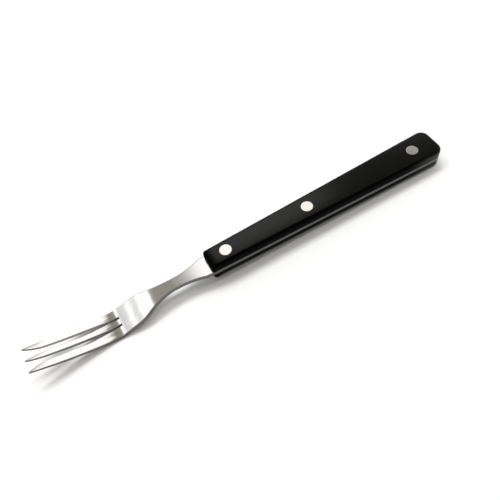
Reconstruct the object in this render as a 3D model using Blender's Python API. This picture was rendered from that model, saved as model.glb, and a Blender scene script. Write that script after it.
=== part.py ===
# Three-tined fork: a stamped and bent steel blade with a full tang, two handle scales and two-part rivets.
# Metres, +Z up. It is modelled along X from the front end of the handle, with the tang's middle plane at
# Z = 0, and then laid on a table under one empty: tine tips towards +X, the table at Z = 0.

import math

import bmesh
import bpy
from mathutils import Vector

# Handle, which tapers from the butt to the front
HANDLE_LENGTH = 0.1288
HANDLE_FRONT_WIDTH = 0.0108
HANDLE_BUTT_WIDTH = 0.0168
FRONT_CORNER_RADIUS = 0.0016
BUTT_CORNER_RADIUS = 0.0046
SCALE_THICKNESS = 0.0041
SCALE_EDGE_RADIUS = 0.0014

# Steel, full thickness up to the tines; both faces are ground in along the tines, the upper one more
STEEL_THICKNESS = 0.0019
UPPER_GRIND_AT_POINTS = 0.0002
UPPER_GRIND_AT_TIPS = 0.0009
LOWER_GRIND_AT_POINTS = 0.0001
LOWER_GRIND_AT_TIPS = 0.0002

# Outline of the neck and the head, lengths measured from the front end of the handle
WAIST_AT = 0.0171
WAIST_WIDTH = 0.0059
WAIST_RADIUS = 0.0435
SHOULDER_RADIUS = 0.0195
HEAD_AT = 0.0470
HEAD_WIDTH = 0.0143

# Tines: the slots between them open in a curve and then run straight to where the points start
SLOT_ROOT_AT = 0.0465
SLOT_ROOT_WIDTH = 0.0009
SLOT_OPENING_LENGTH = 0.0170
SLOT_WIDTH = 0.0022
MIDDLE_TINE_ROOT_WIDTH = 0.0029
MIDDLE_TINE_WIDTH = 0.0025
TINE_LENGTH = 0.0421
POINT_LENGTH = 0.0101
SPREAD_AT_POINTS = 0.0134
TIP_SPREAD = 0.0118
TIP_WIDTH = 0.0005

# Bends of the blade, one after the other along the steel: down at the neck, and up again along the tines
NECK_BEND_AT = 0.0178
NECK_BEND_LENGTH = 0.0125
NECK_BEND_ANGLE = math.radians(18.0)
HEAD_SLOPE_LENGTH = 0.0166
ROOT_EASING_LENGTH = 0.0026
ROOT_EASING_ANGLE = math.radians(4.8)
ROOT_BEND_LENGTH = 0.0031
ROOT_BEND_ANGLE = math.radians(19.5)
ROOT_FLAT_LENGTH = 0.0020
ROOT_FLAT_ANGLE = math.radians(1.5)
TINE_KICK_LENGTH = 0.0026
TINE_KICK_ANGLE = math.radians(3.6)
TINE_BEND_LENGTH = 0.0228
TINE_BEND_ANGLE = math.radians(7.4)

# Rivets: a headed pin from above, pressed into a headed tube from below
RIVET_FRONT_INSET = 0.0098
RIVET_MIDDLE_PITCH = 0.0440
RIVET_BUTT_INSET = 0.0134
HEAD_DIAMETER = 0.0060
HEAD_THICKNESS = 0.0015
HEAD_RECESS = 0.0001
PIN_DIAMETER = 0.0022
TUBE_WALL = 0.0006

# Gap kept between pieces that touch
CLEARANCE = 0.0003

# Facets
SHARP_ANGLE = math.radians(30.0)
WELD_DISTANCE = 1e-6
ROUND_STEPS = 40
CORNER_STEPS = 8
NECK_STEPS = 14
BEND_STEPS = 8
SLOT_STEPS = 8
POINT_STEPS = 8
EDGE_SEGMENTS = 4

# Search for the angle at which the fork rests
STEEPEST_REST = math.radians(20.0)
REST_HALVINGS = 60

# Places worked out from the sizes above
POINT_AT = SLOT_ROOT_AT + TINE_LENGTH - POINT_LENGTH
TIP_AT = SLOT_ROOT_AT + TINE_LENGTH
SLOT_RADIUS = SLOT_ROOT_WIDTH / 2
SLOT_OPEN_AT = SLOT_ROOT_AT + SLOT_RADIUS + SLOT_OPENING_LENGTH
BENDS = [
    (NECK_BEND_LENGTH, -NECK_BEND_ANGLE),
    (HEAD_SLOPE_LENGTH, 0.0),
    (ROOT_EASING_LENGTH, ROOT_EASING_ANGLE),
    (ROOT_BEND_LENGTH, ROOT_BEND_ANGLE),
    (ROOT_FLAT_LENGTH, ROOT_FLAT_ANGLE),
    (TINE_KICK_LENGTH, TINE_KICK_ANGLE),
    (TINE_BEND_LENGTH, TINE_BEND_ANGLE),
]
SCALE_SEAT = STEEL_THICKNESS / 2 + CLEARANCE
SCALE_FACE = SCALE_SEAT + SCALE_THICKNESS
HEAD_TOP = SCALE_FACE - HEAD_RECESS
HEAD_SEAT = HEAD_TOP - HEAD_THICKNESS
BORE_DIAMETER = PIN_DIAMETER + 2 * CLEARANCE
TUBE_DIAMETER = BORE_DIAMETER + 2 * TUBE_WALL
RIVET_PLACES = {
    "front": -RIVET_FRONT_INSET,
    "middle": -RIVET_FRONT_INSET - RIVET_MIDDLE_PITCH,
    "rear": RIVET_BUTT_INSET - HANDLE_LENGTH,
}

STEEL_LOOK = {"colour": (0.62, 0.61, 0.59, 1.0), "roughness": 0.32, "metallic": 1.0}
SCALE_LOOK = {"colour": (0.018, 0.018, 0.019, 1.0), "roughness": 0.42, "metallic": 0.0}
RIVET_LOOK = {"colour": (0.72, 0.72, 0.71, 1.0), "roughness": 0.28, "metallic": 1.0}


def clear_scene():
    for obj in list(bpy.data.objects):
        bpy.data.objects.remove(obj, do_unlink=True)


def arc(centre, radius, start, end, steps):
    """Points on a circle between two angles, both ends included."""
    angles = [start + (end - start) * step / steps for step in range(steps + 1)]
    return [centre + radius * Vector((math.cos(angle), math.sin(angle))) for angle in angles]


def rounded_corner(before, corner, after, radius):
    """The arc that rounds a convex corner, from the side of before to the side of after."""
    towards_before = (before - corner).normalized()
    towards_after = (after - corner).normalized()
    half_angle = towards_before.angle(towards_after) / 2
    middle = (towards_before + towards_after).normalized()
    centre = corner + middle * radius / math.sin(half_angle)
    first = corner + towards_before * radius / math.tan(half_angle) - centre
    sweep = first.angle_signed(corner + towards_after * radius / math.tan(half_angle) - centre)
    start = math.atan2(first.y, first.x)
    return arc(centre, radius, start, start - sweep, CORNER_STEPS)


def crossings(start, direction, centre, radius):
    """The two points where a line crosses a circle, in the line's own direction."""
    along = (centre - start).dot(direction)
    foot = start + direction * along
    reach = math.sqrt(radius**2 - (foot - centre).length_squared)
    return foot - direction * reach, foot + direction * reach


def butt_corner():
    return Vector((-HANDLE_LENGTH, HANDLE_BUTT_WIDTH / 2))


def front_corner():
    return Vector((0.0, HANDLE_FRONT_WIDTH / 2))


def rounded_butt():
    """One rounded corner of the butt, from the end to the side."""
    below = Vector((-HANDLE_LENGTH, 0.0))
    return rounded_corner(below, butt_corner(), front_corner(), BUTT_CORNER_RADIUS)


def mirrored(half):
    """A closed outline from its half at +Y."""
    return half + [Vector((point.x, -point.y)) for point in reversed(half)]


def scale_outline():
    inside = Vector((0.0, 0.0))
    front = rounded_corner(butt_corner(), front_corner(), inside, FRONT_CORNER_RADIUS)
    return mirrored(rounded_butt() + front)


def neck_curve():
    """The waist and the shoulder: two arcs from the side of the tang to the outer edge of the tines."""
    waist_centre = Vector((WAIST_AT, WAIST_WIDTH / 2 + WAIST_RADIUS))
    along_tang = (front_corner() - butt_corner()).normalized()
    tang_end = crossings(front_corner(), along_tang, waist_centre, WAIST_RADIUS)[0]

    root = Vector((HEAD_AT, HEAD_WIDTH / 2))
    along_tine = (Vector((POINT_AT, SPREAD_AT_POINTS / 2)) - root).normalized()
    inwards = Vector((along_tine.y, -along_tine.x))
    both = WAIST_RADIUS + SHOULDER_RADIUS
    shoulder_centre = crossings(root + inwards * SHOULDER_RADIUS, along_tine, waist_centre, both)[1]

    from_waist = shoulder_centre - waist_centre
    turn = math.atan2(from_waist.y, from_waist.x)
    leave = math.atan2(tang_end.y - waist_centre.y, tang_end.x - waist_centre.x)
    outwards = math.atan2(-inwards.y, -inwards.x)
    waist = arc(waist_centre, WAIST_RADIUS, leave, turn, NECK_STEPS)
    shoulder = arc(shoulder_centre, SHOULDER_RADIUS, turn + math.pi, outwards, CORNER_STEPS)
    return waist + shoulder[1:]


def slot_side(root, straight, tip):
    """One side of a slot from its root to the tips, from its distances to the axis at three places."""
    parts_left = [1 - step / SLOT_STEPS for step in range(1, SLOT_STEPS + 1)]
    opening = [
        Vector((SLOT_OPEN_AT - left * SLOT_OPENING_LENGTH, straight + left**2 * (root - straight)))
        for left in parts_left
    ]
    parts_done = [step / POINT_STEPS for step in range(POINT_STEPS + 1)]
    point = [
        Vector((POINT_AT + done * POINT_LENGTH, straight + done**2 * (tip - straight)))
        for done in parts_done
    ]
    return opening + point


def blade_outline():
    """The whole blade in plan, from the butt round the three tines and back."""
    outer_side = [
        Vector((POINT_AT, SPREAD_AT_POINTS / 2)),
        Vector((TIP_AT, (TIP_SPREAD + TIP_WIDTH) / 2)),
    ]
    middle_root = MIDDLE_TINE_ROOT_WIDTH / 2
    middle = MIDDLE_TINE_WIDTH / 2
    outer_tip = (TIP_SPREAD - TIP_WIDTH) / 2
    inner_side = slot_side(middle_root + SLOT_ROOT_WIDTH, middle + SLOT_WIDTH, outer_tip)
    slot_centre = Vector((SLOT_ROOT_AT + SLOT_RADIUS, middle_root + SLOT_RADIUS))
    slot = arc(slot_centre, SLOT_RADIUS, math.pi / 2, 3 * math.pi / 2, CORNER_STEPS)
    middle_side = slot_side(middle_root, middle, TIP_WIDTH / 2)
    return mirrored(rounded_butt() + neck_curve() + outer_side + inner_side[::-1] + slot + middle_side)


def bend_nodes():
    """Where the bends start and end: distance along the handle's axis, height and slope."""
    nodes = [(NECK_BEND_AT, 0.0, 0.0)]
    for length, angle in BENDS:
        x, height, slope = nodes[-1]
        if angle:
            radius = length / angle
            x += radius * (math.sin(slope + angle) - math.sin(slope))
            height += radius * (math.cos(slope) - math.cos(slope + angle))
        else:
            x += length * math.cos(slope)
            height += length * math.sin(slope)
        nodes.append((x, height, slope + angle))
    return nodes


def bent(x, y, offset):
    """A point of the flat blank, offset from its middle plane, carried onto the bent blade."""
    nodes = bend_nodes()
    before = [node for node in nodes if node[0] <= x]
    start, height, slope = before[-1] if before else (x, 0.0, 0.0)
    if before and len(before) < len(nodes) and BENDS[len(before) - 1][1]:
        length, angle = BENDS[len(before) - 1]
        radius = length / angle
        turned_slope = math.asin(math.sin(slope) + (x - start) / radius)
        height += radius * (math.cos(slope) - math.cos(turned_slope))
        slope = turned_slope
    else:
        height += (x - start) * math.tan(slope)
    return Vector((x - offset * math.sin(slope), y, height + offset * math.cos(slope)))


def face_offset(x, at_points, at_tips):
    """Distance of a face of the steel from its middle plane, from what is ground off at two places."""
    taper_at = bend_nodes()[-2][0]
    along_tine = min(1.0, max(0.0, (x - taper_at) / (POINT_AT - taper_at)))
    along_point = max(0.0, (x - POINT_AT) / POINT_LENGTH)
    return STEEL_THICKNESS / 2 - along_tine * at_points - along_point * (at_tips - at_points)


def plate(outline):
    """A bmesh with one flat face."""
    bm = bmesh.new()
    bm.faces.new([bm.verts.new((point.x, point.y, 0.0)) for point in outline])
    return bm


def new_object(name, bm, look):
    """The finished bmesh as an object with a material of its own."""
    bmesh.ops.recalc_face_normals(bm, faces=bm.faces)
    mesh = bpy.data.meshes.new(name)
    bm.to_mesh(mesh)
    bm.free()
    mesh.shade_smooth()
    mesh.set_sharp_from_angle(angle=SHARP_ANGLE)
    material = bpy.data.materials.new(name)
    material.use_nodes = True
    shader = material.node_tree.nodes["Principled BSDF"]
    shader.inputs["Base Color"].default_value = look["colour"]
    shader.inputs["Roughness"].default_value = look["roughness"]
    shader.inputs["Metallic"].default_value = look["metallic"]
    mesh.materials.append(material)
    obj = bpy.data.objects.new(name, mesh)
    bpy.context.scene.collection.objects.link(obj)
    return obj


def build_blade():
    bm = plate(blade_outline())
    places = [node[0] for node in bend_nodes()]
    cuts = [
        start + (end - start) * step / BEND_STEPS
        for start, end in zip(places, places[1:])
        for step in range(BEND_STEPS)
    ]
    for x in cuts + [places[-1], POINT_AT]:
        everything = bm.verts[:] + bm.edges[:] + bm.faces[:]
        cut = Vector((x, 0.0, 0.0))
        bmesh.ops.bisect_plane(bm, geom=everything, plane_co=cut, plane_no=(1.0, 0.0, 0.0))
    under = bm.verts[:]
    extruded = bmesh.ops.extrude_face_region(bm, geom=bm.faces[:], use_keep_orig=True)
    upper = [item for item in extruded["geom"] if isinstance(item, bmesh.types.BMVert)]
    for vert in under:
        offset = face_offset(vert.co.x, LOWER_GRIND_AT_POINTS, LOWER_GRIND_AT_TIPS)
        vert.co = bent(vert.co.x, vert.co.y, -offset)
    for vert in upper:
        offset = face_offset(vert.co.x, UPPER_GRIND_AT_POINTS, UPPER_GRIND_AT_TIPS)
        vert.co = bent(vert.co.x, vert.co.y, offset)
    return new_object("fork_blade", bm, STEEL_LOOK)


def build_scale(name, side):
    """A handle scale above (side 1) or below (side -1) the tang, with its outer edge rounded."""
    bm = plate(scale_outline())
    extruded = bmesh.ops.extrude_face_region(bm, geom=bm.faces[:], use_keep_orig=True)
    outer = [item for item in extruded["geom"] if isinstance(item, bmesh.types.BMVert)]
    for vert in bm.verts:
        vert.co.z = side * SCALE_SEAT
    for vert in outer:
        vert.co.z = side * SCALE_FACE
    rim = [edge for edge in bm.edges if all(vert in outer for vert in edge.verts)]
    bmesh.ops.bevel(
        bm,
        geom=rim,
        offset=min(SCALE_EDGE_RADIUS, SCALE_THICKNESS / 2, FRONT_CORNER_RADIUS - CLEARANCE),
        offset_type="OFFSET",
        segments=EDGE_SEGMENTS,
        profile=0.5,
        affect="EDGES",
    )
    return new_object(name, bm, SCALE_LOOK)


def turned(name, profile, look):
    """A solid of revolution about Z, from (radius, height) points that start and end on the axis."""
    bm = bmesh.new()
    verts = [bm.verts.new((radius, 0.0, height)) for radius, height in profile]
    edges = [bm.edges.new(pair) for pair in zip(verts, verts[1:])]
    bmesh.ops.spin(
        bm,
        geom=verts + edges,
        cent=(0.0, 0.0, 0.0),
        axis=(0.0, 0.0, 1.0),
        angle=2 * math.pi,
        steps=ROUND_STEPS,
    )
    bmesh.ops.remove_doubles(bm, verts=bm.verts, dist=WELD_DISTANCE)
    return new_object(name, bm, look)


def build_pin(name):
    head = HEAD_DIAMETER / 2
    shank = PIN_DIAMETER / 2
    foot = CLEARANCE - HEAD_SEAT
    profile = [(0.0, HEAD_TOP), (head, HEAD_TOP), (head, HEAD_SEAT)]
    profile += [(shank, HEAD_SEAT), (shank, foot), (0.0, foot)]
    return turned(name, profile, RIVET_LOOK)


def build_tube(name):
    head = HEAD_DIAMETER / 2
    tube = TUBE_DIAMETER / 2
    bore = BORE_DIAMETER / 2
    mouth = HEAD_SEAT - CLEARANCE
    profile = [(0.0, -HEAD_SEAT), (bore, -HEAD_SEAT), (bore, mouth), (tube, mouth), (tube, -HEAD_SEAT)]
    profile += [(head, -HEAD_SEAT), (head, -HEAD_TOP), (0.0, -HEAD_TOP)]
    return turned(name, profile, RIVET_LOOK)


def build_rivet_cutter(name):
    """The stepped hole of one rivet: through the tang and both scales, wider at the heads."""
    head = HEAD_DIAMETER / 2 + CLEARANCE
    tube = TUBE_DIAMETER / 2 + CLEARANCE
    floor = HEAD_SEAT - CLEARANCE
    end = SCALE_FACE + HEAD_THICKNESS
    profile = [(0.0, end), (head, end), (head, floor), (tube, floor)]
    profile += [(radius, -height) for radius, height in reversed(profile)]
    cutter = turned(name, profile, STEEL_LOOK)
    cutter.hide_render = True
    cutter.display_type = "WIRE"
    return cutter


def drill(obj, cutter):
    hole = obj.modifiers.new("rivet_hole_" + cutter.name, "BOOLEAN")
    hole.operation = "DIFFERENCE"
    hole.solver = "EXACT"
    hole.object = cutter


def lay_on_table(objects, blade, lower_scale):
    """Puts all objects under an empty that rests the bowl and the butt on Z = 0, centred on the origin."""
    blade_points = [vert.co for vert in blade.data.vertices]
    scale_points = [vert.co for vert in lower_scale.data.vertices]

    def lowest(points, tilt):
        return min(point.z * math.cos(tilt) - point.x * math.sin(tilt) for point in points)

    head_up = -STEEPEST_REST
    head_down = STEEPEST_REST
    for _ in range(REST_HALVINGS):
        tilt = (head_up + head_down) / 2
        if lowest(blade_points, tilt) < lowest(scale_points, tilt):
            head_down = tilt
        else:
            head_up = tilt

    along = [point.x * math.cos(tilt) + point.z * math.sin(tilt) for point in blade_points + scale_points]
    rest = bpy.data.objects.new("rest_on_table", None)
    bpy.context.scene.collection.objects.link(rest)
    rest.rotation_euler.y = tilt
    rest.location.x = -(min(along) + max(along)) / 2
    rest.location.z = -lowest(blade_points, tilt)
    for obj in objects:
        obj.parent = rest


def main():
    clear_scene()
    blade = build_blade()
    upper_scale = build_scale("upper_scale", 1)
    lower_scale = build_scale("lower_scale", -1)
    objects = [blade, upper_scale, lower_scale]
    for place, x in RIVET_PLACES.items():
        cutter = build_rivet_cutter("cutter_" + place)
        pin = build_pin("rivet_" + place + "_pin")
        tube = build_tube("rivet_" + place + "_tube")
        for obj in (cutter, pin, tube):
            obj.location.x = x
            objects.append(obj)
        for obj in (blade, upper_scale, lower_scale):
            drill(obj, cutter)
    lay_on_table(objects, blade, lower_scale)


main()
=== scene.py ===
import math

import bmesh
import bpy
from mathutils import Matrix, Vector


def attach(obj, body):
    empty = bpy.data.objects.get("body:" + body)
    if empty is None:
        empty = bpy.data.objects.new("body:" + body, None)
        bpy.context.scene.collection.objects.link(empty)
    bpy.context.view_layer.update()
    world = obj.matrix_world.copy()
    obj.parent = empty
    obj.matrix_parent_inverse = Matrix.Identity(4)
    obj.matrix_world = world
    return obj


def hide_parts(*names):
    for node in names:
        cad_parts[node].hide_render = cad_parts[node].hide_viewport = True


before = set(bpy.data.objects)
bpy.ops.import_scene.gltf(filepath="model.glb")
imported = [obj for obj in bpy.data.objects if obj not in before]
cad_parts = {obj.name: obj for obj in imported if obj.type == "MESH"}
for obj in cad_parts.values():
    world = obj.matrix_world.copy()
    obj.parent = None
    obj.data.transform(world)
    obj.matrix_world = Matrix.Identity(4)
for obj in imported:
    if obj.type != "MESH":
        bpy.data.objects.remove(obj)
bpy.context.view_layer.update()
mm = 0.001
print("frame loaded with", len(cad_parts), "nodes")


# ways of working that every piece shares

workshop = {
    "smoothTo": 35.0,        # degrees, faces that meet at less are shaded as one
    "cornerFrom": 0.9,       # radians, edges that turn more are corners
    "same": 1e-6,            # m, places closer than this are the same
    "weld": 1e-7,            # m, points closer than this become one
}


def putDown():
    if bpy.context.mode != "OBJECT":
        bpy.ops.object.mode_set(mode="OBJECT")
    bpy.ops.object.select_all(action="DESELECT")


def takeUp(piece):
    putDown()
    piece.select_set(True)
    bpy.context.view_layer.objects.active = piece


def edit(piece):
    takeUp(piece)
    bpy.ops.object.mode_set(mode="EDIT")


def pick(piece, kind, wanted):
    # in edit mode, selects only the verts, edges or faces that pass the test
    bpy.ops.mesh.select_mode(type=kind)
    bpy.ops.mesh.select_all(action="DESELECT")
    shape = bmesh.from_edit_mesh(piece.data)
    for item in {"VERT": shape.verts, "EDGE": shape.edges, "FACE": shape.faces}[kind]:
        if wanted(item):
            item.select_set(True)
    shape.select_flush_mode()
    bmesh.update_edit_mesh(piece.data)


def isCorner(edge):
    return edge.calc_face_angle() > workshop["cornerFrom"]


def weldAll(distance):
    bpy.ops.mesh.select_all(action="SELECT")
    bpy.ops.mesh.remove_doubles(threshold=distance)


def drawOut(offset):
    # extrudes what is selected in edit mode, by mm
    bpy.ops.mesh.extrude_region_move(TRANSFORM_OT_translate={"value": [side * mm for side in offset]})


def roundOff(radius, steps):
    bpy.ops.mesh.bevel(offset=radius * mm, segments=steps, affect="EDGES")


def finishWith(piece, kind, **settings):
    takeUp(piece)
    modifier = piece.modifiers.new(kind.lower(), kind)
    for key, value in settings.items():
        setattr(modifier, key, value)
    bpy.ops.object.modifier_apply(modifier=modifier.name)


def smooth(piece):
    takeUp(piece)
    bpy.ops.object.shade_smooth_by_angle(angle=math.radians(workshop["smoothTo"]))
    finishWith(piece, "WEIGHTED_NORMAL", keep_sharp=True)


def cutAway(piece, cutter):
    finishWith(piece, "BOOLEAN", operation="DIFFERENCE", solver="EXACT", object=cutter)
    bpy.data.objects.remove(cutter, do_unlink=True)


def settle(piece):
    # its place, turn and size go into its mesh
    takeUp(piece)
    bpy.ops.object.transform_apply(location=True, rotation=True, scale=True)


def newCylinder(name, radius, low, high, at, sides=64):
    putDown()
    bpy.ops.mesh.primitive_cylinder_add(
        vertices=sides, radius=radius * mm, depth=(high - low) * mm,
        location=(at * mm, 0, (low + high) / 2 * mm))
    piece = bpy.context.object
    piece.name = name
    settle(piece)
    return piece


def newStrip(name, rows):
    # rows are (length, lowest y, highest y) in mm; a plane whose front edge is drawn out from row to row
    start, low, high = rows[0]
    end = rows[1][0]
    putDown()
    bpy.ops.mesh.primitive_plane_add(
        size=1, location=((start + end) / 2 * mm, (low + high) / 2 * mm, 0))
    strip = bpy.context.object
    strip.name = name
    bpy.ops.transform.resize(value=((end - start) * mm, (high - low) * mm, 1))
    settle(strip)
    edit(strip)
    pick(strip, "EDGE", lambda edge: min(v.co.x for v in edge.verts) > (start + end) / 2 * mm)
    for last, this in zip(rows, rows[1:]):
        middle = (this[1] + this[2]) / 2
        aside = middle - (last[1] + last[2]) / 2
        if last is rows[0]:
            bpy.ops.transform.translate(value=(0, aside * mm, 0))
        else:
            drawOut((this[0] - last[0], aside, 0))
        bpy.ops.transform.resize(
            value=(1, (this[2] - this[1]) / (last[2] - last[1]), 1),
            center_override=(this[0] * mm, middle * mm, 0))
    return strip


def thicken(low, high):
    # the flat strip in edit mode becomes a closed plate between two heights
    bpy.ops.mesh.select_all(action="SELECT")
    bpy.ops.transform.translate(value=(0, 0, low * mm))
    drawOut((0, 0, high - low))
    weldAll(workshop["weld"])
    bpy.ops.mesh.normals_make_consistent(inside=False)


def evenly(start, end, steps):
    return [start + (end - start) * step / steps for step in range(steps + 1)]


def clamp(part):
    return min(1, max(0, part))


lie = {
    "tilt": 1.164887,                       # degrees, front of the handle up: bowl and butt touch the table
    "shift": (0.02000041, 0, 0.00794093),   # m, from the front end of the handle
}


def layOnTable(piece, slot, *nodes):
    takeUp(piece)
    bpy.ops.transform.rotate(
        value=math.radians(lie["tilt"]), orient_axis="Y", center_override=(0, 0, 0))
    bpy.ops.transform.translate(value=lie["shift"])
    settle(piece)
    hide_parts(*nodes)
    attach(piece, "root")


# sizes of the handle in mm, shared by the tang, the scales and the rivets
handle = {
    "length": 128.8,
    "frontWidth": 10.8,
    "buttWidth": 16.78,
    "frontCorner": 1.6,
    "buttCorner": 4.6,
    "rivetsAt": {"Front": -9.8, "Middle": -53.8, "Rear": -115.4},
}

# the blade in mm: one strip of steel, cut out flat, then bent; distances from the front of the handle
blade = {
    "thickness": 1.9,
    "tangTo": -1.0,
    "waistAt": 17.1, "waistWidth": 5.9, "waistRadius": 43.5,
    "shoulderRadius": 19.5,
    "headAt": 47.0, "headWidth": 14.28,     # where the outer sides of the tines begin
    "pointsAt": 78.5, "tipsAt": 88.55,
    "spread": 13.4, "tipSpread": 11.8, "tipWidth": 0.5,
    "slotsAt": 46.5, "slotsOpenAt": 64.0, "slotWidth": 0.9, "slotEndRound": 0.441,
    "middleRootWidth": 2.9, "middleWidth": 2.44, "outerTineFrom": 3.45,
    "farSidesOpenAt": 61.0,                 # far sides of two tines keep the slots narrow up to here
    "leanAt": 77.5, "leanOver": 8.0,        # where the upper faces begin to lean to the far side
    # turns along the steel: from, to, degrees
    "bends": [
        (17.8, 30.3, -18.0),    # neck
        (46.9, 49.5, 4.8),      # roots of the tines
        (49.5, 52.6, 19.5),
        (52.6, 54.6, 1.5),
        (54.6, 57.2, 3.6),
        (57.2, 80.0, 7.4),      # tines
    ],
    "upperGrind": [(55.5, 57.5, 0.5), (79.5, 83.5, 3.2), (87.0, 91.5, 3.5)],
    "lowerGrind": [(55.5, 57.5, 0.3)],
    "edgeRound": 0.2, "headRound": 0.55,    # lower and tine edges; upper edges of neck and head
    "easedFrom": -0.5, "headRoundTo": 45.5,     # where each of them starts or ends
    "rimUpright": 0.6,                      # faces that look up less than this are rims
    "tangHole": 2.0,
    # rows of points along the blank and the slots: at these places, or from, to, steps
    "tangRows": [-100, -70, -40, -10, -1, 0, 1, 2],
    "neckRows": (2.5, 65.0, 125),
    "tineRows": (66.0, 76.0, 10),
    "slotRow": 71.0,
    "buttSteps": 10, "slotSteps": 10, "pointSteps": 12, "slotEndSteps": 6, "rimSteps": 4,
    "rowGap": 0.2, "weld": 0.002,           # no two rows, no two points closer than this
    "slotOver": 3.0,                        # the slots are cut this far past the tips
    "slotCutter": 2.0, "drill": 3.0, "drillSides": 32,  # reach of both from the middle of the steel
    "fine": 0.1, "fineSteps": 1000,         # in which the steel's length is measured
}


def turnAt(kind, length):
    # degrees turned so far along the steel
    return sum(angle * clamp((length - start) / (end - start)) for start, end, angle in blade[kind])


def steelLengths():
    # (distance along the handle's axis, length along the steel) in fine steps
    fine = blade["fine"]
    found, reach = [(0.0, 0.0)], 0.0
    for step in range(1, blade["fineSteps"]):
        reach += fine * math.cos(math.radians(turnAt("bends", step * fine - fine / 2)))
        found.append((reach, step * fine))
    return found


reaches = steelLengths()


def alongSteel(x):
    if x <= 0:
        return x
    for (low, flat), (high, nextFlat) in zip(reaches, reaches[1:]):
        if x <= high:
            return flat + (nextFlat - flat) * (x - low) / (high - low)


def alongAxis(length):
    # the other way round
    return length if length <= 0 else reaches[min(len(reaches) - 1, round(length / blade["fine"]))][0]


def shoulderCentre():
    # of the circle that rounds the shoulder: it touches the waist's circle and the tines' outer side
    tineSide = Vector((
        blade["pointsAt"] - blade["headAt"], (blade["spread"] - blade["headWidth"]) / 2)).normalized()
    inwards = Vector((tineSide.y, -tineSide.x))
    root = Vector((blade["headAt"], blade["headWidth"] / 2)) + inwards * blade["shoulderRadius"]
    waist = Vector((blade["waistAt"], blade["waistWidth"] / 2 + blade["waistRadius"]))
    apart = blade["waistRadius"] + blade["shoulderRadius"]
    foot = root + tineSide * (waist - root).dot(tineSide)
    centre = foot + tineSide * math.sqrt(apart ** 2 - (foot - waist).length_squared)
    turn = waist + (centre - waist) * blade["waistRadius"] / apart
    return centre, turn.x, (centre - inwards * blade["shoulderRadius"]).x


def pointPart(x):
    # 0 where the points begin, 1 at the tips
    return clamp((x - blade["pointsAt"]) / (blade["tipsAt"] - blade["pointsAt"]))


def pointPlaces():
    return evenly(blade["pointsAt"], blade["tipsAt"], blade["pointSteps"])


def outerSide(x):
    # of an outer tine
    if x < blade["pointsAt"]:
        part = (x - blade["headAt"]) / (blade["pointsAt"] - blade["headAt"])
        return (blade["headWidth"] + part * (blade["spread"] - blade["headWidth"])) / 2
    tip = (blade["tipSpread"] + blade["tipWidth"]) / 2
    return blade["spread"] / 2 + pointPart(x) * (tip - blade["spread"] / 2)


def slotSides(x):
    # of the gap between the middle tine and an outer one
    root, middle = blade["middleRootWidth"] / 2, blade["middleWidth"] / 2
    narrow = max(0, (blade["slotsOpenAt"] - x) / (blade["slotsOpenAt"] - blade["slotsAt"])) ** 2
    inner = middle + narrow * (root - middle)
    outer = blade["outerTineFrom"] + narrow * (root + blade["slotWidth"] - blade["outerTineFrom"])
    part = pointPart(x) ** 2
    inner += part * (blade["tipWidth"] / 2 - inner)
    outer += part * ((blade["tipSpread"] - blade["tipWidth"]) / 2 - outer)
    return inner, outer


def slotRoom(x):
    # the width that the far side of a tine leaves to the slot beside it
    wide = blade["outerTineFrom"] - blade["middleWidth"] / 2
    part = min(1, (x - blade["slotsAt"]) / (blade["farSidesOpenAt"] - blade["slotsAt"]))
    return blade["slotWidth"] + (wide - blade["slotWidth"]) * part ** 2


def farLean(x, y):
    # how far the upper face of a tine leans to its far side, near the points: 1 at that side, 0 at the other
    inner, outer = slotSides(x)
    near, far = (inner, -inner) if abs(y) < (inner + outer) / 2 else (
        (outerSide(x), outer) if y > 0 else (-outer, -outerSide(x)))
    return clamp((x - blade["leanAt"]) / blade["leanOver"]) * clamp((near - y) / (near - far))


def bladeHalf(x):
    # half the width of the steel, from the butt to the tips
    front, butt, corner = handle["frontWidth"] / 2, handle["buttWidth"] / 2, handle["buttCorner"]
    tang = front - (butt - front) * x / handle["length"]
    fromButt = x + handle["length"]
    if fromButt < corner:
        return tang - corner + math.sqrt(max(0, corner ** 2 - (corner - fromButt) ** 2))
    if x < blade["tangTo"]:
        return tang
    centre, turn, end = shoulderCentre()
    if x < turn:
        neck = blade["waistWidth"] / 2 + blade["waistRadius"]
        neck -= math.sqrt(blade["waistRadius"] ** 2 - (x - blade["waistAt"]) ** 2)
        return min(tang, neck) if x < blade["waistAt"] else neck
    if x < end:
        return centre.y + math.sqrt(blade["shoulderRadius"] ** 2 - (x - centre.x) ** 2)
    return outerSide(x)


def bladeRows():
    turns = [math.radians(turn) for turn in evenly(0, 90, blade["buttSteps"])]
    places = [handle["buttCorner"] * (1 - math.cos(turn)) - handle["length"] for turn in turns]
    places += blade["tangRows"] + evenly(*blade["neckRows"]) + evenly(*blade["tineRows"]) + pointPlaces()
    flat = [(alongSteel(x), bladeHalf(x)) for x in sorted(set(places))]
    rows = flat[:1]
    for row in flat[1:]:
        if row[0] - rows[-1][0] > blade["rowGap"]:
            rows.append(row)
    return [(length, -half, half) for length, half in rows]


def slotRows(side):
    places = evenly(blade["slotsAt"], blade["slotsOpenAt"], blade["slotSteps"])
    rows = []
    for x in places + [blade["slotRow"]] + pointPlaces():
        inner, outer = slotSides(x)
        if x < blade["slotsOpenAt"] and side > 0:
            outer = min(outer, inner + slotRoom(x))
        elif x < blade["slotsOpenAt"]:
            inner = max(inner, outer - slotRoom(x))
        rows.append((alongSteel(x), inner, outer))
    length, inner, outer = rows[-1]
    rows.append((length + blade["slotOver"], inner, outer))
    return rows if side > 0 else [(length, -outer, -inner) for length, inner, outer in rows]


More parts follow.
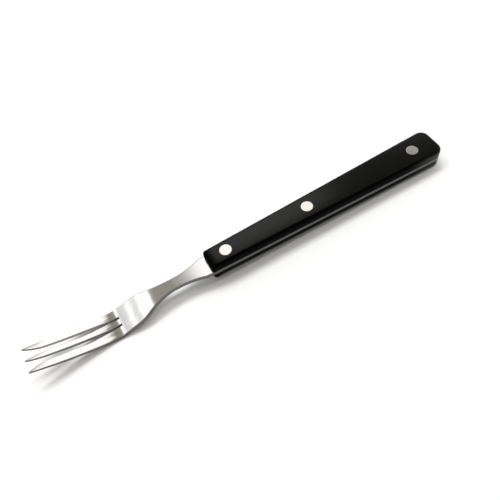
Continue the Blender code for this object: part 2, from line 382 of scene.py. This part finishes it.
def cutSlot(steel, side):
    slot = newStrip("slotCutter", slotRows(side))
    thicken(-blade["slotCutter"], blade["slotCutter"])
    root = alongSteel(blade["slotsAt"]) * mm
    pick(slot, "EDGE", lambda edge: all(abs(v.co.x - root) < workshop["same"] for v in edge.verts)
         and abs(edge.verts[0].co.y - edge.verts[1].co.y) < workshop["same"])
    roundOff(blade["slotEndRound"], blade["slotEndSteps"])
    cutAway(steel, slot)


def easeRims(steel):
    # rims of neck, head and tines are eased; the tang stays square
    edit(steel)
    weldAll(blade["weld"] * mm)
    shape = bmesh.from_edit_mesh(steel.data)
    weight = shape.edges.layers.float.new("bevel_weight_edge")
    for edge in shape.edges:
        if min(v.co.x for v in edge.verts) > blade["easedFrom"] * mm and isCorner(edge):
            head = max(v.co.x for v in edge.verts) < alongSteel(blade["headRoundTo"]) * mm
            upper = edge.verts[0].co.z + edge.verts[1].co.z > blade["thickness"] / 2 * mm
            edge[weight] = 1 if head and upper else blade["edgeRound"] / blade["headRound"]
    bmesh.update_edit_mesh(steel.data)
    putDown()
    finishWith(steel, "BEVEL", limit_method="WEIGHT", width=blade["headRound"] * mm,
               segments=blade["rimSteps"], use_clamp_overlap=False)


def keepBlank(steel):
    # the flat blank is kept, so that the brushing follows the bends; its rims take the second finish
    steel.data.attributes.new("blank", "FLOAT_VECTOR", "POINT")
    steel.data.attributes.new("lean", "FLOAT", "POINT")
    blank = steel.data.attributes["blank"]
    lean = steel.data.attributes["lean"]
    for vert in steel.data.vertices:
        blank.data[vert.index].vector = vert.co
        x = alongAxis(vert.co.x / mm)
        lean.data[vert.index].value = farLean(x, vert.co.y / mm) if x > blade["slotsOpenAt"] else 0
    for face in steel.data.polygons:
        face.material_index = int(abs(face.normal.z) < blade["rimUpright"])


def turnRows(steel, rows, *kinds):
    # one hinge between each two rows, from the tips backwards; side 1 or -1 turns only that face inwards
    lengths = [row[0] for row in rows]
    for start, end in reversed(list(zip(lengths, lengths[1:]))):
        hinge = (start + end) / 2 * mm
        for kind, side in kinds:
            turn = math.radians(turnAt(kind, end) - turnAt(kind, start))
            if turn:
                pick(steel, "VERT", lambda v: v.co.x > hinge and (side == 0 or v.co.z * side > 0))
                bpy.ops.transform.rotate(
                    value=-side * turn if side else turn, orient_axis="Y",
                    center_override=(hinge, 0, side * blade["thickness"] / 2 * mm))


def makeBlade():
    half = blade["thickness"] / 2
    rows = bladeRows()
    steel = newStrip("forkBlade", rows)
    thicken(-half, half)
    for side in (1, -1):
        cutSlot(steel, side)
    for at in handle["rivetsAt"].values():
        cutAway(steel, newCylinder(
            "tangDrill", blade["tangHole"], -blade["drill"], blade["drill"], at, blade["drillSides"]))
    easeRims(steel)
    keepBlank(steel)
    edit(steel)
    turnRows(steel, rows, ("upperGrind", 1), ("lowerGrind", -1))
    turnRows(steel, rows, ("bends", 0))
    putDown()
    smooth(steel)
    layOnTable(steel, "blade_steel", "fork_blade")
    print("blade made,", len(steel.data.polygons), "faces")
    return steel


# one black scale on each side of the tang, in mm
scale = {
    "thickness": 4.4,
    "seat": 0.96,            # height of its inner face over the middle of the tang
    "inside": 0.01,          # its outer face lies this much inside the solid's
    "edgeRound": 1.5,
    "edgeSteps": 8, "cornerSteps": 12,
    "headHole": 3.02,
    "drillOver": 1.0,        # how far the drill reaches past both faces
}


def makeScale(name, side, node):
    low, high = scale["seat"], scale["seat"] + scale["thickness"] - scale["inside"]
    length, width = handle["length"], handle["buttWidth"]
    putDown()
    bpy.ops.mesh.primitive_cube_add(
        size=1, location=(-length / 2 * mm, 0, side * (low + high) / 2 * mm))
    piece = bpy.context.object
    piece.name = name
    bpy.ops.transform.resize(value=(length * mm, width * mm, (high - low) * mm))
    settle(piece)
    edit(piece)
    pick(piece, "VERT", lambda v: v.co.x > -length / 2 * mm)
    bpy.ops.transform.resize(value=(1, handle["frontWidth"] / width, 1), center_override=(0, 0, 0))
    for corner, end in (("buttCorner", -length), ("frontCorner", 0)):
        pick(piece, "EDGE", lambda edge: all(abs(v.co.x - end * mm) < workshop["same"] for v in edge.verts)
             and abs(edge.verts[0].co.z - edge.verts[1].co.z) > workshop["same"])
        roundOff(handle[corner], scale["cornerSteps"])
    pick(piece, "EDGE", lambda edge: isCorner(edge)
         and all(v.co.z * side > high * mm - workshop["same"] for v in edge.verts))
    roundOff(scale["edgeRound"], scale["edgeSteps"])
    putDown()
    bottom, top = sorted((side * (low - scale["drillOver"]), side * (high + scale["drillOver"])))
    for at in handle["rivetsAt"].values():
        cutAway(piece, newCylinder("headDrill", scale["headHole"], bottom, top, at))
    smooth(piece)
    layOnTable(piece, "handle_scale", node)
    print(name, "made")
    return piece


# rivets in mm: a headed pin from above in a headed tube from below
rivet = {
    "headRadius": 3.0,
    "headThickness": 1.5,
    "rimRound": 0.2, "rimSteps": 3,
    "top": 5.33,             # height of the head's face over the middle of the tang
    "pinRadius": 1.1,
    "pinEnd": -1.1,          # height of the pin's lower end
    "tubeRadius": 1.9,
    "boreRadius": 1.15,
    "play": 0.3,             # between the end of the tube and the pin's head
    "level": 0.9,            # a face is the head's inner one if it looks this straight at the other head
}


def newHead(name, at, side):
    # a round head above or below, left in edit mode with its inner face selected
    top = rivet["top"]
    low, high = sorted((side * (top - rivet["headThickness"]), side * top))
    head = newCylinder(name, rivet["headRadius"], low, high, at)
    edit(head)
    pick(head, "EDGE", lambda edge: all(v.co.z * side > top * mm - workshop["same"] for v in edge.verts))
    roundOff(rivet["rimRound"], rivet["rimSteps"])
    pick(head, "FACE", lambda face: face.normal.z * side < -rivet["level"])
    return head


def drawStem(radius, nextRadius, rise):
    # the selected round face is made smaller and drawn out
    bpy.ops.mesh.inset(thickness=(radius - nextRadius) * mm)
    drawOut((0, 0, rise))


def makeRivetPin(name, at):
    reach = rivet["top"] - rivet["headThickness"] - rivet["pinEnd"]
    pin = newHead(name, at, 1)
    drawStem(rivet["headRadius"], rivet["pinRadius"], -reach)
    putDown()
    smooth(pin)
    return pin


def makeRivetTube(name, at):
    reach = 2 * (rivet["top"] - rivet["headThickness"]) - rivet["play"]
    tube = newHead(name, at, -1)
    drawStem(rivet["headRadius"], rivet["tubeRadius"], reach)
    drawStem(rivet["tubeRadius"], rivet["boreRadius"], -reach)
    putDown()
    smooth(tube)
    return tube


def makeRivets():
    # one pin and one tube are made at the first place and copied to the others, each with its own mesh
    places = list(handle["rivetsAt"].items())
    first, firstAt = places[0]
    rivets = []
    for make, part in ((makeRivetPin, "Pin"), (makeRivetTube, "Tube")):
        model = make("rivet" + first + part, firstAt)
        copies = [(first, model)]
        for place, at in places[1:]:
            takeUp(model)
            bpy.ops.object.duplicate()
            copy = bpy.context.object
            copy.name = "rivet" + place + part
            bpy.ops.transform.translate(value=((at - firstAt) * mm, 0, 0))
            settle(copy)
            copies.append((place, copy))
        for place, piece in copies:
            layOnTable(piece, "rivet_steel", "rivet_" + place.lower() + "_" + part.lower())
            rivets.append(piece)
    print("rivets made,", len(rivets), "pieces")
    return rivets


# materials

class Wire:
    # one socket; sums and products of wires add Math nodes
    def __init__(self, tree, socket=None):
        self.tree = tree
        self.socket = socket

    def plug(self, port, value):
        if isinstance(value, Wire):
            self.tree.links.new(value.socket, port)
        else:
            port.default_value = value

    def add(self, kind, settings=None, sockets=None, out=0):
        node = self.tree.nodes.new("ShaderNode" + kind)
        for key, value in (settings or {}).items():
            setattr(node, key, value)
        for key, value in (sockets or {}).items():
            self.plug(node.inputs[key], value)
        return Wire(self.tree, node.outputs[out])

    def math(self, operation, first, second):
        return self.add("Math", {"operation": operation}, {0: first, 1: second})

    def __add__(self, other):
        return self.math("ADD", self, other)

    def __radd__(self, other):
        return self.math("ADD", other, self)

    def __sub__(self, other):
        return self.math("SUBTRACT", self, other)

    def __rsub__(self, other):
        return self.math("SUBTRACT", other, self)

    def __mul__(self, other):
        return self.math("MULTIPLY", self, other)

    def __rmul__(self, other):
        return self.math("MULTIPLY", other, self)


def axis(vector, letter):
    return vector.add("SeparateXYZ", {}, {"Vector": vector}, letter)


def ramp(value, ends, unit=1.0, kind="SMOOTHSTEP"):
    # 0 at the first end, 1 at the second
    return value.add("MapRange", {"interpolation_type": kind}, {
        "Value": value, "From Min": ends[0] * unit, "From Max": ends[1] * unit})


def noise(place, scale, detail):
    # with a scale for each axis it is drawn out to lines along the lowest
    if isinstance(scale, tuple):
        place = place.add("Mapping", {}, {"Vector": place, "Scale": scale})
        scale = 1.0
    return place.add("TexNoise", {}, {"Vector": place, "Scale": scale, "Detail": detail}, "Fac")


def swing(pattern, amount):
    # a noise as much up as down
    return (pattern - 0.5) * amount


def between(part, first, second):
    return first + part * (second - first)


def blend(factor, first, second):
    return factor.add("Mix", {"data_type": "RGBA"}, {"Factor": factor, 6: first, 7: second}, 2)


def tip(normal, aside):
    leaned = normal.add("VectorMath", {"operation": "ADD"}, {0: normal, 1: aside})
    return normal.add("VectorMath", {"operation": "NORMALIZE"}, {0: leaned})


def newMaterial(name):
    material = bpy.data.materials.new(name)
    material.use_nodes = True
    shader = material.node_tree.nodes["Principled BSDF"]
    return material, shader, Wire(material.node_tree)


def dress(piece, *materials):
    kept = [face.material_index for face in piece.data.polygons]
    piece.data.materials.clear()
    for material in materials:
        piece.data.materials.append(material)
    for face, index in zip(piece.data.polygons, kept):
        face.material_index = index if len(materials) > 1 else 0


# places are mm along the blank
brushedSteel = {
    "colour": (0.67, 0.668, 0.66, 1),
    "darker": (0.61, 0.608, 0.60, 1),
    "shade": (0.50, 0.498, 0.49, 1),    # painted shade: darker streaks painted in the bend at the roots of the tines
    "farEdgeShade": (0.25, 0.248, 0.24, 1),  # painted shade on the eased far edge of the head behind its shoulder, where the surface looks to the far side
    "roughness": 0.13, "cloudy": 0.04,
    # scale and detail of each noise
    "brush": ((60, 9000, 9000), 2.0), "streak": ((40, 700, 700), 1.0), "cloud": (160.0, 3.0),
    "bendFrom": (49.0, 51.5), "bendTo": (60.0, 56.0),
    "shadeFrom": (0.4, 0.65),           # of the streaks
    "farEdgeTurn": (-0.1, -0.4),        # how far the surface looks to the far side
    "farEdgeTo": (43.0, 37.0),
    "headFrom": (33.0, 37.0), "headTo": (49.0, 48.0),
    "headPolish": 0.066,     # roughness taken off between neck and tines
    "across": 0.04,          # how far the brush lines tip the surface sideways
    "along": 0.006,          # and how far broader streaks tip it lengthways
    "roots": 0.10,           # the same in the bend at the roots of the tines
    "points": 0.10,          # lean of the upper faces at the points
    "pointsDull": 0.16,      # roughness added there
}


def makeSteelFinish():
    steel = brushedSteel
    material, shader, wire = newMaterial("brushedSteel")
    blank = wire.add("Attribute", {"attribute_name": "blank"}, out="Vector")
    lean = wire.add("Attribute", {"attribute_name": "lean"}, out="Fac")
    facing = wire.add("NewGeometry", out="Normal")
    forward = axis(blank, "X")
    brush = noise(blank, *steel["brush"])
    streak = noise(blank, *steel["streak"])
    cloud = noise(blank, *steel["cloud"])
    bend = ramp(forward, steel["bendFrom"], mm) * ramp(forward, steel["bendTo"], mm)
    shade = bend * ramp(streak, steel["shadeFrom"], kind="LINEAR")
    farEdgeShade = ramp(axis(facing, "Y"), steel["farEdgeTurn"], kind="LINEAR")
    farEdgeShade = farEdgeShade * ramp(forward, steel["farEdgeTo"], mm)
    head = ramp(forward, steel["headFrom"], mm) * ramp(forward, steel["headTo"], mm, "LINEAR") * (1 - bend)

    colour = blend(brush * 0.5 + cloud * 0.5, steel["colour"], steel["darker"])
    # painted shade: the streaks in the bend at the tine roots are darkened in the colour
    colour = blend(shade, colour, steel["shade"])
    # painted shade: darker where the eased edge looks to the far side
    colour = blend(farEdgeShade, colour, steel["farEdgeShade"])
    rough = steel["roughness"] + swing(cloud, steel["cloudy"])
    rough = rough + lean * steel["pointsDull"] - head * steel["headPolish"]
    aside = wire.add("CombineXYZ", {}, {
        "X": swing(streak, between(bend, steel["along"], steel["roots"])),
        "Y": swing(brush, steel["across"]) - lean * steel["points"]})
    wire.plug(shader.inputs["Base Color"], colour)
    wire.plug(shader.inputs["Roughness"], rough)
    shader.inputs["Metallic"].default_value = 1.0
    wire.plug(shader.inputs["Normal"], tip(facing, aside))
    return material


# places are mm along the blank
tumbledEdgeAndShade = {
    # the rims are dark partly as painted shade
    "colour": (0.16, 0.157, 0.15, 1),
    "darker": (0.13, 0.127, 0.12, 1),
    # painted shade on the near tine's rims, running to painted light on the far tine's
    "nearTine": (0.15, 0.146, 0.14, 1),
    "farTine": (0.46, 0.45, 0.43, 1),
    # painted shade on the rims at the tips
    "tips": (0.09, 0.088, 0.083, 1),
    "front": (0.15, 0.147, 0.14, 1),    # painted shade on the neck's rims where it leaves the handle
    # painted shade on the tang's edge between the scales
    "tang": (0.14, 0.136, 0.13, 1),
    "tinesFrom": (48.0, 56.0), "tipsFrom": (80.0, 88.0), "frontFrom": (16.0, 8.0), "tangFrom": (0.5, -0.5),
    "nearToFar": (6.0, -5.0),           # mm across
    "shear": ((5000, 5000, 300), 2.0),  # scale and detail
    "roughness": 0.45, "shearDull": 0.2,
    "bump": 0.2, "bumpHeight": 0.05,
}


def makeEdgeFinish():
    # rims left from cutting out the blank and only tumbled: dull, with fine lines through the thickness;
    # their colour is also painted shade, set zone by zone, and lighter on the far tine as painted light
    rim = tumbledEdgeAndShade
    material, shader, wire = newMaterial("tumbledEdgeAndShade")
    blank = wire.add("Attribute", {"attribute_name": "blank"}, out="Vector")
    shear = noise(blank, *rim["shear"])
    forward = axis(blank, "X")
    tines = blend(ramp(axis(blank, "Y"), rim["nearToFar"], mm), rim["nearTine"], rim["farTine"])
    colour = blend(shear, rim["colour"], rim["darker"])
    # painted shade and light: the rims' colour is set zone by zone along the blank
    for zone, shade in (("tinesFrom", tines), ("tipsFrom", rim["tips"]),
                        ("frontFrom", rim["front"]), ("tangFrom", rim["tang"])):
        colour = blend(ramp(forward, rim[zone], mm), colour, shade)
    lines = wire.add("Bump", {}, {
        "Strength": rim["bump"], "Distance": rim["bumpHeight"] * mm, "Height": shear}, "Normal")
    wire.plug(shader.inputs["Base Color"], colour)
    wire.plug(shader.inputs["Roughness"], rim["roughness"] + swing(shear, rim["shearDull"]))
    shader.inputs["Metallic"].default_value = 1.0
    wire.plug(shader.inputs["Normal"], lines)
    return material


# places are mm from the front of the handle and from the middle of the tang
satinBlack = {
    "colour": (0.0004, 0.0004, 0.0004, 1),
    "worn": (0.0010, 0.0010, 0.0010, 1),
    "roughness": 0.20, "mottled": 0.06,
    "specular": 0.29,
    "mottle": (420.0, 4.0), "grain": (2600.0, 2.0),     # scale and detail
    "crown": 150.0,             # radius of the slight crown across the polished faces
    "crownTop": -4.0,           # where it is level
    "sanded": 0.48, "sandedMottled": 0.1,   # roughness of the sides and of the rounded edges
    "sandedSpecular": 0.01,
    "upperEdge": (0.995, 0.90), "lowerEdge": (-0.45, 0.05),     # how far up the surface looks there
    "front": (-6.0, -1.0),      # where the faces are sanded too, at the front end
    "rear": (-56.0, -82.0),     # where the faces get duller towards the butt
    "dull": 0.3,
    "butt": (-106.0, -127.0),   # where the sides get a shine from the hand
    "shine": 0.62,
    "belly": (-2.7, -4.9),      # heights between which the lower scale's sides curve in
    "bellyLean": 0.4,
    "bellyShine": (-2.6, -3.9), # heights over which the sanding ends there
    "bump": 0.15, "bumpHeight": 0.1,
}


def makeScaleFinish():
    # polished faces above and below, sanded sides; the sanding runs out over the rounded edges
    black = satinBlack
    material, shader, wire = newMaterial("satinBlack")
    place = wire.add("TexCoord", out="Object")
    upright = axis(wire.add("TexCoord", out="Normal"), "Z")
    mottle = noise(place, *black["mottle"])
    grain = noise(place, *black["grain"])
    forward = axis(place, "X") - lie["shift"][0]
    height = axis(place, "Z") - lie["shift"][2] - forward * math.tan(math.radians(lie["tilt"]))

    sides = ramp(upright, black["upperEdge"]) * ramp(upright, black["lowerEdge"])
    sides = sides * (1 - ramp(forward, black["butt"], mm) * black["shine"])
    sides = sides * (1 - ramp(height, black["bellyShine"], mm))
    front = ramp(forward, black["front"], mm)
    rear = ramp(forward, black["rear"], mm) * black["dull"]
    belly = ramp(height, black["belly"], mm, "LINEAR")
    aside = wire.add("CombineXYZ", {}, {
        "Y": (axis(place, "Y") - black["crownTop"] * mm) * (1 / (black["crown"] * mm)),
        "Z": belly * -black["bellyLean"]})
    polished = tip(wire.add("NewGeometry", out="Normal"), aside)
    sanding = wire.add("Bump", {}, {
        "Strength": black["bump"], "Distance": black["bumpHeight"] * mm, "Height": grain}, "Normal")

    colour = blend(mottle, black["colour"], black["worn"])
    matt = material.node_tree.nodes.new("ShaderNodeBsdfPrincipled")
    for coat, rough, mottled, specular, normal in (
            (shader, "roughness", "mottled", "specular", polished),
            (matt, "sanded", "sandedMottled", "sandedSpecular", sanding)):
        wire.plug(coat.inputs["Base Color"], colour)
        wire.plug(coat.inputs["Roughness"], black[rough] + swing(mottle, black[mottled]))
        coat.inputs["Specular IOR Level"].default_value = black[specular]
        wire.plug(coat.inputs["Normal"], normal)
    mixed = wire.add("MixShader", {}, {
        0: wire.math("MAXIMUM", wire.math("MAXIMUM", sides, front), rear),
        1: Wire(wire.tree, shader.outputs[0]),
        2: Wire(wire.tree, matt.outputs[0])})
    wire.plug(material.node_tree.nodes["Material Output"].inputs["Surface"], mixed)
    return material


groundRivet = {
    "colour": (0.65, 0.64, 0.62, 1),
    "darker": (0.58, 0.57, 0.55, 1),
    "roughness": 0.16, "grindDull": 0.1,
    "grind": ((400, 9000, 400), 2.0),   # scale and detail
}


def makeRivetFinish():
    material, shader, wire = newMaterial("groundRivet")
    grind = noise(wire.add("TexCoord", out="Object"), *groundRivet["grind"])
    rough = groundRivet["roughness"] + swing(grind, groundRivet["grindDull"])
    wire.plug(shader.inputs["Base Color"], blend(grind, groundRivet["colour"], groundRivet["darker"]))
    wire.plug(shader.inputs["Roughness"], rough)
    shader.inputs["Metallic"].default_value = 1.0
    return material


forkBlade = makeBlade()
scales = [makeScale("upperScale", 1, "upper_scale"), makeScale("lowerScale", -1, "lower_scale")]
rivets = makeRivets()

dress(forkBlade, makeSteelFinish(), makeEdgeFinish())
scaleFinish = makeScaleFinish()
for piece in scales:
    dress(piece, scaleFinish)
rivetFinish = makeRivetFinish()
for piece in rivets:
    dress(piece, rivetFinish)
print("finishes on")


# the table, the light and the camera

table = {"size": 3.0, "colour": (0.71, 0.71, 0.71, 1)}


def makeTable():
    putDown()
    bpy.ops.mesh.primitive_plane_add(size=table["size"], location=(0, 0, 0))
    top = bpy.context.object
    top.name = "tableTop"
    material = bpy.data.materials.new("paleTable")
    material.use_nodes = True
    material.node_tree.nodes.clear()
    wire = Wire(material.node_tree)
    output = material.node_tree.nodes.new("ShaderNodeOutputMaterial")
    wire.plug(output.inputs["Surface"], wire.add("BsdfDiffuse", {}, {"Color": table["colour"]}))
    dress(top, material)


light = {
    "farSweep": 0.97, "nearSweep": 0.50,    # white paper round the table, less lit on the near side
    "nearToFar": (0.2, -0.2),               # of the way looked, across the table
    "farTop": 44.5, "nearTop": 40.0,        # degrees above the table at which it ends
    "topSoft": (-0.02, 0.02),
    "farCeiling": 0.40, "nearCeiling": 0.28,
    "leftFall": 0.30,                       # part of the ceiling's light lost to the left
    "leftFrom": (-0.15, -0.45),
    "horizon": 1.0, "horizonTop": 10.0,     # pale band all round
    "horizonSoft": (0.05, -0.05),
    "tint": (1.0, 0.96, 0.87),              # of the ceiling
    # middle and size of each panel for a height of 1 m, its real height, its radiance, seen in the metal
    "panels": {
        "main": ((0.06, -0.42), (0.72, 0.32), 1.5, 11.3, False),
        "left": ((-0.80, -0.36), (1.0, 0.48), 1.55, 2.8, False),
        "right": ((0.80, -0.48), (0.78, 0.30), 1.6, 3.6, False),
        "over": ((-0.75, 0.06), (1.0, 0.24), 1.65, 3.6, False),
        "above": ((0.0, 0.04), (0.6, 0.28), 1.7, 1.8, False),
        "farRight": ((-0.2915, -0.63), (0.477, 0.30), 1.0, 1.38, True),
        "farLeft": ((0.8175, -0.80), (0.065, 0.50), 1.05, 1.98, True),
        "farStrip": ((0.902, -0.80), (0.020, 0.50), 1.06, 1.12, True),
    },
}


def makeRoom():
    world = bpy.data.worlds.new("room")
    bpy.context.scene.world = world
    world.use_nodes = True
    wire = Wire(world.node_tree)
    back = world.node_tree.nodes["Background"]
    way = wire.add("TexCoord", out="Generated")
    up = axis(way, "Z")
    far = ramp(axis(way, "Y"), light["nearToFar"])

    def height(end):
        return math.sin(math.radians(light[end]))

    over = ramp(up - between(far, height("nearTop"), height("farTop")), light["topSoft"])
    low = ramp(up - height("horizonTop"), light["horizonSoft"])
    left = ramp(axis(way, "X"), light["leftFrom"])
    sweep = between(far, light["nearSweep"], light["farSweep"])
    ceiling = between(far, light["nearCeiling"], light["farCeiling"]) * (1 - left * light["leftFall"])
    level = between(low, between(over, sweep, ceiling), light["horizon"])
    colour = wire.add("CombineColor", {}, {
        part: level * (1 - over * (1 - light["tint"][part])) for part in range(3)})
    wire.plug(back.inputs["Color"], colour)
    back.inputs["Strength"].default_value = 1.0


def makePanels():
    for name, (at, size, hangs, radiance, mirrored) in light["panels"].items():
        lamp = bpy.data.lights.new(name + "Panel", "AREA")
        lamp.shape = "RECTANGLE"
        lamp.size = size[0] * hangs
        lamp.size_y = size[1] * hangs
        lamp.energy = radiance * lamp.size * lamp.size_y * math.pi
        panel = bpy.data.objects.new(name + "Panel", lamp)
        panel.location = Vector((*at, 1)) * hangs
        panel.visible_glossy = mirrored
        bpy.context.scene.collection.objects.link(panel)


camera = {
    "at": (0.03784371, 0.11887312, 0.20630545),
    "aim": (-0.00171168, -0.00107638, 0.00019916),
    "roll": -13.2276,
    "lens": 36.0, "sensor": 36.0,
    "clipStart": 0.01,
}


def makeCamera():
    data = bpy.data.cameras.new("photoCamera")
    data.sensor_width = camera["sensor"]
    data.lens = camera["lens"]
    data.clip_start = camera["clipStart"]
    stand = bpy.data.objects.new("photoCamera", data)
    bpy.context.scene.collection.objects.link(stand)
    stand.location = camera["at"]
    look = (Vector(camera["aim"]) - Vector(camera["at"])).to_track_quat("-Z", "Y").to_matrix().to_4x4()
    stand.rotation_euler = (look @ Matrix.Rotation(math.radians(camera["roll"]), 4, "Z")).to_euler()
    bpy.context.scene.camera = stand


makeTable()
makeRoom()
makePanels()
makeCamera()
bpy.context.scene.view_settings.view_transform = "Standard"
print("table, light and camera set")
